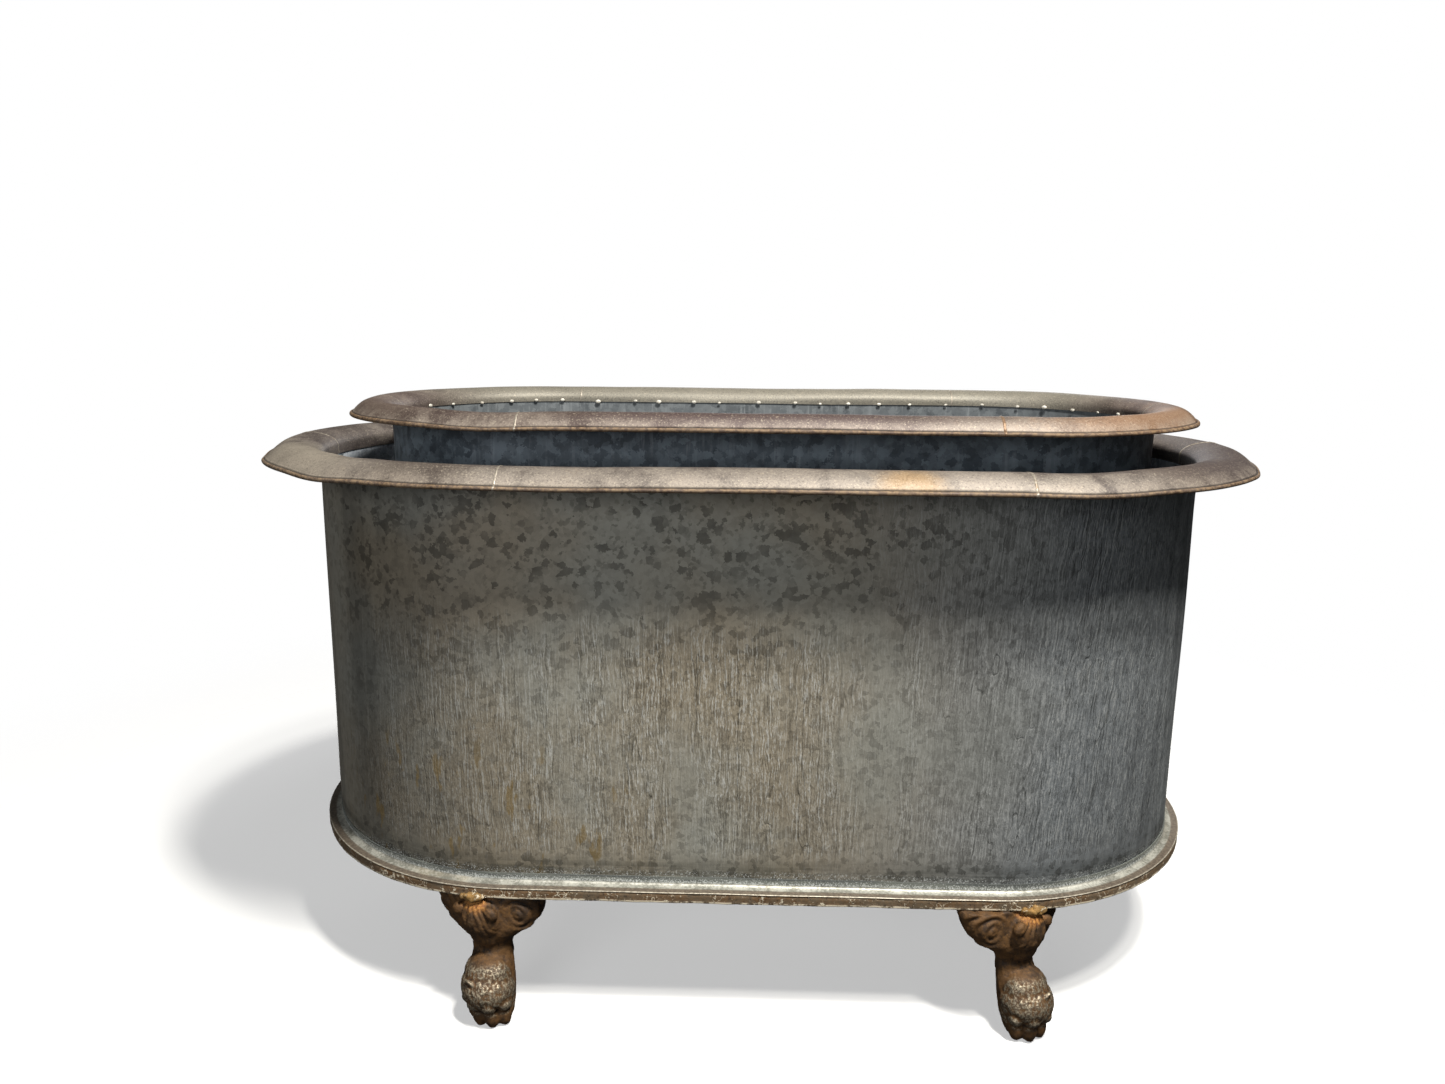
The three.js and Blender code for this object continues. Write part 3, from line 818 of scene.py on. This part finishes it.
pale_solder = solder_metal("pale_solder", "a39b8d", "7d756b", "735f49")
rusty_solder = solder_metal("rusty_solder", "8c765f", "5f4b3b", "6b4728")
tack_solder = solder_metal("tack_solder", "d8d4c9", "aaa598", "8d8271", 0.1)

# %% Lay the seams
SEAM_WIDTH = 3.4 * MM
SEAM_HEIGHT = 0.6 * MM
SEAM_STEPS = 8


def puff_up(bm, axis, middle, width, height, seed):
    """Raises a strip along its centre line and sinks its edges under the sheet."""
    bm.normal_update()
    pushes = []
    for vert in bm.verts:
        t = (vert.co[axis] - middle) / (width / 2)
        lump = noise.noise(vert.co / (4 * MM) + Vector((seed, 0, 0)))
        rise = height * (1 - t * t) * (1 + 0.7 * lump) - 0.35 * MM
        pushes.append((vert, vert.normal * rise))
    for vert, push in pushes:
        vert.co += push


def add_seam(place, trough, x, size, finish):
    """A seam across a straight side, or at the very end of a trough."""
    width, height = SEAM_WIDTH * size, SEAM_HEIGHT * size
    end = 1 if x > trough.middle else -1
    if place in ("left", "right"):
        half_angle = math.degrees(width / 2 / trough.radius)
        start = (0 if end > 0 else 180) - half_angle
        run = [("round", 2 * half_angle, SEAM_STEPS)]
        bm = sweep(rim_section(trough), trough, end, start, run)
        axis, middle = 1, 0.0
    else:
        start = -QUARTER if place.startswith("front") else QUARTER
        run = [("straight", width, SEAM_STEPS)]
        bm = sweep(rim_section(trough), trough, end, start, run)
        edge = trough.middle + end * trough.half_straight
        bmesh.ops.translate(bm, verts=bm.verts[:], vec=(x - edge - width / 2, 0, 0))
        axis, middle = 0, x
    face_away(bm, crest_line(trough))
    puff_up(bm, axis, middle, width, height, seed=x * 31)
    bend_rim(bm, trough)
    seam = make_piece(f"{trough.name}_solder_{place}", bm, trough.body, finish, (), 0.5 * MM)


SEAMS = {  # how far to the right each seam is, and how wide against the usual
    large: {
        "front_left": (-0.258, 1.0), "front_right": (0.276, 1.2),
        "back_left": (-0.270, 1.0), "back_right": (0.270, 1.0),
        "left": (-1.0, 1.1), "right": (1.0, 1.5),
    },
    small: {
        "front_left": (-0.254, 1.0), "front_right": (0.261, 1.3),
        "back_left": (-0.257, 1.0), "back_right": (0.286, 1.0),
        "left": (-1.0, 0.9), "right": (1.0, 0.9),
    },
}
for trough, seams in SEAMS.items():
    for place, (x, size) in seams.items():
        rusty = trough is small and place == "front_right"
        add_seam(place, trough, x, size, rusty_solder if rusty else pale_solder)
print("seams:", sum(len(seams) for seams in SEAMS.values()))

# %% Drop the tacks
TACK_RADIUS = 2.6 * MM
TACK_GAPS = (34 * MM, 58 * MM)
TACK_SHAPE = (0.45, 1.3, 0.9)  # flat against the wall, wider than high
TACK_INSET = 4.4 * MM


def add_tacks(trough, seed):
    """Drops of solder where the foot of the rim's leg meets the wall."""
    chance = random.Random(seed)
    bm = bmesh.new()
    out = trough.radius - TACK_INSET
    straight, round_end = 2 * trough.half_straight, math.pi * out
    along, count = 0.0, 0
    while along < 2 * (straight + round_end):
        part, rest = divmod(along, straight + round_end)
        flip = -1 if part else 1
        if rest < straight:
            spot = Vector((rest - straight / 2, -out, 0))
        else:
            a = (rest - straight) / out - math.pi / 2
            spot = Vector((straight / 2 + out * math.cos(a), out * math.sin(a), 0))
        spot = Vector((trough.middle + flip * spot.x, flip * spot.y, trough.leg_foot))
        spot.z += chance.uniform(0, 2) * MM
        radius = TACK_RADIUS * chance.uniform(0.7, 1.25)
        outwards = spot - axis_of(trough)(spot)
        facing = Matrix.Rotation(math.atan2(outwards.y, outwards.x), 4, "Z")
        place = Matrix.Translation(spot) @ facing @ Matrix.Diagonal((*TACK_SHAPE, 1))
        bmesh.ops.create_icosphere(bm, subdivisions=2, radius=radius, matrix=place)
        along += chance.uniform(*TACK_GAPS)
        count += 1
    warp(bm, 0.5 * MM, 3 * MM)
    tacks = make_piece(f"{trough.name}_solder_tacks", bm, trough.body, tack_solder)
    return count


print("tacks:", add_tacks(small, 8))

# %% [markdown]
# ## The cast paw feet
# Each foot is one iron casting: broad wings that spread under the hoop, a knee with a mane of
# fur and a leaf tip each side, a narrow ankle, and a lion's paw with four toes. It is built as
# a sculptor would, from overlapping lumps, which a voxel Remesh then joins into one skin. The
# fur is cut into that skin by moving its points along their normals. A smoothed copy shows
# which points ended up in hollows, and that is kept for the finish as `hollow`.


# %% Rusty casting finish
def cast_iron(name):
    f = Finish(name)
    hollow = f.attribute("hollow")  # 0 deep, 0.5 level, 1 on a ridge
    wear_and_highlight = f.attribute("wear_and_highlight")
    orange = f.attribute("orange")
    cloud = f.noise(22.0, 4, 0.6)
    patch = f.noise(90.0, 4, 0.7)
    fine = f.noise(420.0, 3, 0.75)
    iron = f.shades(patch * 0.6 + cloud * 0.4, 0.38, 0.6, "332415", "5c4020")
    iron = f.mix(f.rise(fine, 0.55, 0.7) * 0.5, iron, "7c5826")
    rust = f.rise(orange + (patch - 0.5) * 0.7, 0.3, 0.8)
    iron = f.mix(rust * 0.85, iron, f.shades(fine, 0.4, 0.6, "7e4b20", "b5803f"))
    # the paw's dome and the knee are paler: partly rubbed bare, partly a painted highlight on
    # their tops
    rubbed_and_lit = f.rise(wear_and_highlight + (patch - 0.5) * 0.5, 0.3, 0.8)
    bare = f.rise(hollow + (fine - 0.5) * 0.5, 0.42, 0.66) * rubbed_and_lit
    iron = f.mix(bare * 0.9, iron, f.shades(fine, 0.42, 0.64, "62574a", "ada28b"))
    iron = f.darken(f.rise(hollow, 0.45, 0.1) * 0.75, iron, "30210f")
    rough = 0.62 + patch * 0.2 - bare * 0.22
    metal = 0.25 + bare * 0.4
    height_map = fine * 0.6 + patch * 0.6
    return f.surface(iron, rough, metal, bump=f.bump(height_map, 0.0011, 0.8))


paw_iron = cast_iron("paw_iron")
weld_rust = rusty_steel("weld_rust", "94713c", "64502f", 0.6)

# %% Sculpt a foot
# Heights and reaches are in millimetres here, with the foot facing +Y and its top at 147.
LEG_RINGS = [  # height, half width, front, back
    (3, 20, 20, -12), (12, 25, 26, -18), (28, 27, 22, -25), (44, 27, 14, -29),
    (60, 26, 5, -32), (74, 24, -2, -35), (84, 24, -4, -38), (92, 28, -2, -42),
    (100, 39, 1, -47), (108, 52, 0, -53), (119, 62, -3, -60), (132, 68, -6, -66),
    (146.4, 71, -9, -71),
]
TOE_TURNS = (-66, -22, 22, 66)
FOOT_TOP = 146.7  # just under the hoop
JOIN_PASSES = 4  # smoothing that runs the lumps together
LEVEL_PASSES = 10  # smoothing that leaves only the broad shape


def ring_place(ring):
    height, half, front, back = ring
    centre = Matrix.Translation((0, (front + back) / 2, height))
    return centre @ Matrix.Diagonal((half, (front - back) / 2, 1, 1))


def add_leg(bm):
    """A closed tube through the rings, made by extruding one disc upwards."""
    made = bmesh.ops.create_circle(
        bm, cap_ends=True, segments=40, radius=1, matrix=ring_place(LEG_RINGS[0])
    )
    cap = made["verts"][0].link_faces[0]
    for below, above in zip(LEG_RINGS, LEG_RINGS[1:]):
        made = bmesh.ops.extrude_face_region(bm, geom=[cap])
        raised = [g for g in made["geom"] if isinstance(g, BMVert)]
        cap = next(g for g in made["geom"] if isinstance(g, bmesh.types.BMFace))
        change = ring_place(above) @ ring_place(below).inverted()
        bmesh.ops.transform(bm, matrix=change, verts=raised)


def add_lump(bm, centre, radii, tilt=0.0, roll=0.0):
    place = Matrix.Translation(centre) @ Matrix.Rotation(roll, 4, "Y")
    place = place @ Matrix.Rotation(tilt, 4, "X") @ Matrix.Diagonal((*radii, 1))
    bmesh.ops.create_uvsphere(bm, u_segments=28, v_segments=16, radius=1, matrix=place)


def add_lumps(bm):
    add_lump(bm, (0, -10, 119), (27, 21, 27))  # the knee
    add_lump(bm, (0, -12, 101), (21, 17, 20))
    for side in (-1, 1):
        add_lump(bm, (side * 20, 2, 131), (9, 6, 7), roll=side * 0.7)  # leaf tips
        add_lump(bm, (side * 40, -17, 126), (15, 6, 13))  # scrolls on the wings
        add_lump(bm, (side * 18, -20, 76), (7, 9, 13))  # hocks
    add_lump(bm, (0, 4, 41), (31, 31, 24), tilt=-0.25)  # the paw
    add_lump(bm, (0, 0, 55), (27, 25, 21), tilt=-0.5)
    add_lump(bm, (-7, 26, 54), (9, 3, 5), tilt=-0.8, roll=0.5)  # a leaf tip lying on it
    for turn in TOE_TURNS:
        a = math.radians(turn)
        knuckle = (23 * math.sin(a), 4 + 21 * math.cos(a), 28)
        add_lump(bm, knuckle, (9.5, 9.5, 7.5))
        toe = (19 * math.sin(a), 4 + 17 * math.cos(a), 13)
        add_lump(bm, toe, (8.8, 8.8, 13.5))
        claw = (21 * math.sin(a), 4 + 20.5 * math.cos(a), 7)
        add_lump(bm, claw, (4, 4.4, 6.5))


def fur(co):
    """How far the skin is pushed out by cast fur, scrolls and leaf veins, in millimetres."""
    bend = noise.noise(co / 13) * 2.2
    push = 0.0
    knee = math.exp(-((co.x / 23) ** 2) - ((co.z - 118) / 27) ** 4) * smooth_rise(co.y, -18, -8)
    strand = abs(math.sin(math.atan2(co.x, 156 - co.z) * 13 + bend))
    push += knee * 1.5 * (strand - 0.6)
    shin = smooth_rise(co.z, 56, 66) * smooth_rise(co.z, 100, 90)
    push += shin * 0.5 * (abs(math.sin(math.atan2(co.x, co.y + 20) * 7 + bend)) - 0.6)
    wing = smooth_rise(co.z, 100, 110) * smooth_rise(co.y, -6, -16)
    curl = Vector((abs(co.x) - 45, 0, co.z - 126)).length
    push += wing * 1.1 * math.sin(curl * 0.75 + bend * 0.6)
    paw = smooth_rise(co.z, 18, 24) * smooth_rise(co.z, 70, 60)
    grain = noise.noise(Vector((co.x / 2.6, co.y / 7, co.z / 7)))
    push += paw * (0.55 * grain + 0.5 * noise.noise(co / 6))
    return push + 0.35 * noise.noise(co / 2.8)


def soften(bm, passes):
    for _ in range(passes):
        bmesh.ops.smooth_vert(
            bm, verts=bm.verts[:], factor=0.5, use_axis_x=True, use_axis_y=True, use_axis_z=True
        )


def sculpt_foot(voxel):
    bm = bmesh.new()
    add_leg(bm)
    add_lumps(bm)
    bmesh.ops.recalc_face_normals(bm, faces=bm.faces[:])
    rough_mesh = bpy.data.meshes.new("rough_foot")
    bm.to_mesh(rough_mesh)
    bm.free()
    rough_foot = bpy.data.objects.new("rough_foot", rough_mesh)
    bpy.context.scene.collection.objects.link(rough_foot)
    skin = rough_foot.modifiers.new("skin", "REMESH")
    skin.mode, skin.voxel_size = "VOXEL", voxel
    graph = bpy.context.evaluated_depsgraph_get()
    joined = bpy.data.meshes.new_from_object(rough_foot.evaluated_get(graph))
    bpy.data.objects.remove(rough_foot)

    bm = bmesh.new()
    bm.from_mesh(joined)
    soften(bm, JOIN_PASSES)
    bm.normal_update()
    moves = [(vert, vert.normal * fur(vert.co)) for vert in bm.verts]
    for vert, move in moves:
        vert.co += move
        vert.co.z = min(max(vert.co.z, 0.0), FOOT_TOP)
    carved = [vert.co.copy() for vert in bm.verts]
    soften(bm, LEVEL_PASSES)
    bm.normal_update()
    hollow = bm.verts.layers.float.new("hollow")
    wear_and_highlight = bm.verts.layers.float.new("wear_and_highlight")
    orange = bm.verts.layers.float.new("orange")
    for vert, co in zip(bm.verts, carved):
        raised = (co - vert.co).dot(vert.normal)
        vert[hollow] = max(0.0, min(1.0, 0.5 + raised / 1.6))
        # the paw's dome and the knee are marked for a paler colour: wear, and a painted highlight
        # on their tops
        paw = smooth_rise(co.z, 10, 24) * smooth_rise(co.z, 80, 60) * smooth_rise(co.y, -16, 4)
        knee = 0.4 * math.exp(-((co.x / 24) ** 2) - ((co.z - 122) / 22) ** 2)
        vert[wear_and_highlight] = max(paw, knee * smooth_rise(co.y, -16, 0))
        top = smooth_rise(co.z, 118, 146) * math.exp(-((co.x / 20) ** 2))
        vert[orange] = top * smooth_rise(co.y, -24, -8)
        vert.co = co
    bm.to_mesh(joined)
    bm.free()
    print("foot faces:", len(joined.polygons))
    return joined


# %% Stand the feet
FOOT_PLACES = {  # how far past the start of the round end, how far turned, and how far leaning
    -1: (38 * MM, math.radians(16), 22 * MM),
    1: (46 * MM, math.radians(32), 6 * MM),
}
LARGE_VOXEL = 1.3  # mm, and so is the next
SMALL_VOXEL = 2.6


def add_feet(trough, voxel):
    pattern = sculpt_foot(voxel)
    for place in ("front_left", "front_right", "back_left", "back_right"):
        node = f"{trough.name}_foot_{place}"
        x_sign = 1 if "right" in place else -1
        y_sign = 1 if "back" in place else -1
        along, turn, lean = FOOT_PLACES[x_sign]
        along *= trough.size
        across = math.sqrt((trough.radius + trough.ring_reach) ** 2 - along**2)
        facing = math.atan2(y_sign * math.cos(turn), x_sign * math.sin(turn)) - math.pi / 2
        x = trough.middle + x_sign * (trough.half_straight + along)
        at = (x, y_sign * across, trough.ground)
        size = trough.size * MM
        hand = x_sign * y_sign  # feet are cast in left and right hands
        bm = bmesh.new()
        bm.from_mesh(pattern)
        place_foot = (
            Matrix.Translation(at)
            @ Matrix.Rotation(facing, 4, "Z")
            @ Matrix.Diagonal((-hand * size, size, size, 1))
        )
        bmesh.ops.transform(bm, matrix=place_foot, verts=bm.verts[:])
        for vert in bm.verts:  # it leans, so that the sole is nearer the middle
            below = (trough.ring_foot - vert.co.z) / (trough.ring_foot - trough.ground)
            vert.co.x -= x_sign * lean * trough.size * below
        if place_foot.determinant() < 0:
            bmesh.ops.reverse_faces(bm, faces=bm.faces[:])
        make_piece(f"{trough.name}_paw_{place}", bm, trough.body, paw_iron, [node])
        add_weld(trough, place, at, x_sign)


def add_weld(trough, place, at, x_sign):
    """A lumpy bead of rusted weld between the top of a foot and the hoop."""
    chance = random.Random(place)
    pivot = Vector((trough.middle + x_sign * trough.half_straight, 0, 0))
    out = (Vector((at[0], at[1], 0)) - pivot).normalized()
    side = Vector((-out.y, out.x, 0))
    base = pivot + out * (trough.radius + trough.ring_reach + 1.5 * MM)
    base.z = trough.ring_foot + 0.5 * MM
    bm = bmesh.new()
    for i in range(9):
        t = (i - 4) / 4
        spot = base + side * (t * 11 * MM) + Vector((0, 0, chance.uniform(-1.2, 1.2) * MM))
        radius = (4.6 - 1.4 * t * t) * chance.uniform(0.85, 1.15) * MM
        bmesh.ops.create_icosphere(
            bm, subdivisions=3, radius=radius, matrix=Matrix.Translation(spot)
        )
    warp(bm, 1.4 * MM, 4 * MM)
    node = f"{trough.name}_weld_{place}"
    make_piece(f"{trough.name}_bead_{place}", bm, trough.body, weld_rust, [node])


add_feet(large, LARGE_VOXEL)
add_feet(small, SMALL_VOXEL)

# %% [markdown]
# ## Parts that keep their engineering shape
# The floors, bearers and inside cover strips are plain sheet and bar, so the engineering
# shapes stay and only get finishes.

# %% Finish the plain parts
for trough in (large, small):
    for node, finish in (
        ("floor", floor_zinc),
        ("seam_strip_left", strip_zinc),
        ("seam_strip_right", strip_zinc),
        ("bearer_left", hidden_rust),
        ("bearer_middle", hidden_rust),
        ("bearer_right", hidden_rust),
    ):
        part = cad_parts[f"{trough.name}_{node}"]
        part.data.materials.clear()
        part.data.materials.append(finish)

# %% [markdown]
# ## The floor and the light
# A round sheet of pale paper lies under the feet, and fades into the white backdrop towards its
# edge, so that no horizon shows. Even under the feet it is nearly half clear, which keeps the
# shadows on it pale. Its bounced light is turned off, because a white floor would light up the
# shaded wall and the undersides from below.

# %% The floor
PAPER_RADIUS = 1.75
FADE_FROM, FADE_TO = 0.75, 1.7
CLEAR_UNDER_FEET = 0.45

paper = Finish("studio_paper")
length = {"operation": "LENGTH"}
gap = paper.value("ShaderNodeVectorMath", length, {0: paper.place}, output="Value")
sheet = paper.node(
    "ShaderNodeBsdfPrincipled", None, {"Base Color": srgb("f1f1ef"), "Roughness": 0.9}
)
nothing = paper.node("ShaderNodeBsdfTransparent")
clear = paper.rise(gap, FADE_FROM, FADE_TO) * (1 - CLEAR_UNDER_FEET) + CLEAR_UNDER_FEET
fade = paper.node("ShaderNodeMixShader", None, {0: clear})
paper.tree.links.new(sheet.outputs[0], fade.inputs[1])
paper.tree.links.new(nothing.outputs[0], fade.inputs[2])
output = paper.node("ShaderNodeOutputMaterial")
paper.tree.links.new(fade.outputs[0], output.inputs[0])

bm = bmesh.new()
bmesh.ops.create_circle(bm, cap_ends=True, segments=64, radius=PAPER_RADIUS)
floor_mesh = bpy.data.meshes.new("studio_floor")
bm.to_mesh(floor_mesh)
bm.free()
floor_mesh.materials.append(paper.material)
studio_floor = bpy.data.objects.new("studio_floor", floor_mesh)
bpy.context.scene.collection.objects.link(studio_floor)
studio_floor.visible_diffuse = False
studio_floor.visible_glossy = False

# %% [markdown]
# ## Lamps
# Two small lamps hang high in front and to the right, one a little lower than the other, so the
# rim throws a shadow with two edges down the wall. A wide weak lamp on the left keeps that end
# from going black, and another behind does the same for the back.


# %% Hang the lamps
KEY_AIM, WIDE_AIM = (0, -0.3, 0.45), (0, 0, 0.4)
WARM, COOL = (1.0, 0.97, 0.92), (0.97, 0.98, 1.0)


def add_lamp(name, at, towards, power, width, height, colour):
    lamp = bpy.data.lights.new(name, "AREA")
    lamp.shape, lamp.size, lamp.size_y = "RECTANGLE", width, height
    lamp.energy, lamp.color = power, colour
    holder = bpy.data.objects.new(name, lamp)
    holder.visible_camera = False
    holder.matrix_world = Matrix.Translation(at) @ (
        (Vector(at) - Vector(towards)).to_track_quat("Z", "Y").to_matrix().to_4x4()
    )
    bpy.context.scene.collection.objects.link(holder)


add_lamp("key_steep", (0.75, -1.26, 3.41), KEY_AIM, 165, 0.3, 0.3, WARM)
add_lamp("key_second", (0.97, -1.54, 3.23), KEY_AIM, 80, 0.26, 0.26, WARM)
add_lamp("wide_left", (-1.5, -3.3, 1.4), WIDE_AIM, 44, 1.8, 1.6, COOL)
add_lamp("wide_back", (0.6, 3.6, 1.3), WIDE_AIM, 36, 2.2, 1.4, COOL)

# %% [markdown]
# ## A white room that lights softly
# The backdrop should be white, yet a white world would flood the metal with light and wash out
# every shadow. So the world has two backgrounds: white where the backdrop is seen directly,
# and a dim grey one that only lights the troughs.

# %% Backdrop and soft light
SOFT_STRENGTH = 0.05

world = bpy.data.worlds.new("studio")
bpy.context.scene.world = world
world.use_nodes = True
nodes, links = world.node_tree.nodes, world.node_tree.links
soft = nodes["Background"]
soft.inputs["Color"].default_value = (0.96, 0.98, 1, 1)
soft.inputs["Strength"].default_value = SOFT_STRENGTH
backdrop = nodes.new("ShaderNodeBackground")
backdrop.inputs["Color"].default_value = (1, 1, 1, 1)
backdrop.inputs["Strength"].default_value = 1.0
chooser = nodes.new("ShaderNodeMixShader")
links.new(nodes.new("ShaderNodeLightPath").outputs["Is Camera Ray"], chooser.inputs[0])
links.new(soft.outputs[0], chooser.inputs[1])
links.new(backdrop.outputs[0], chooser.inputs[2])
links.new(chooser.outputs[0], nodes["World Output"].inputs[0])

# %% [markdown]
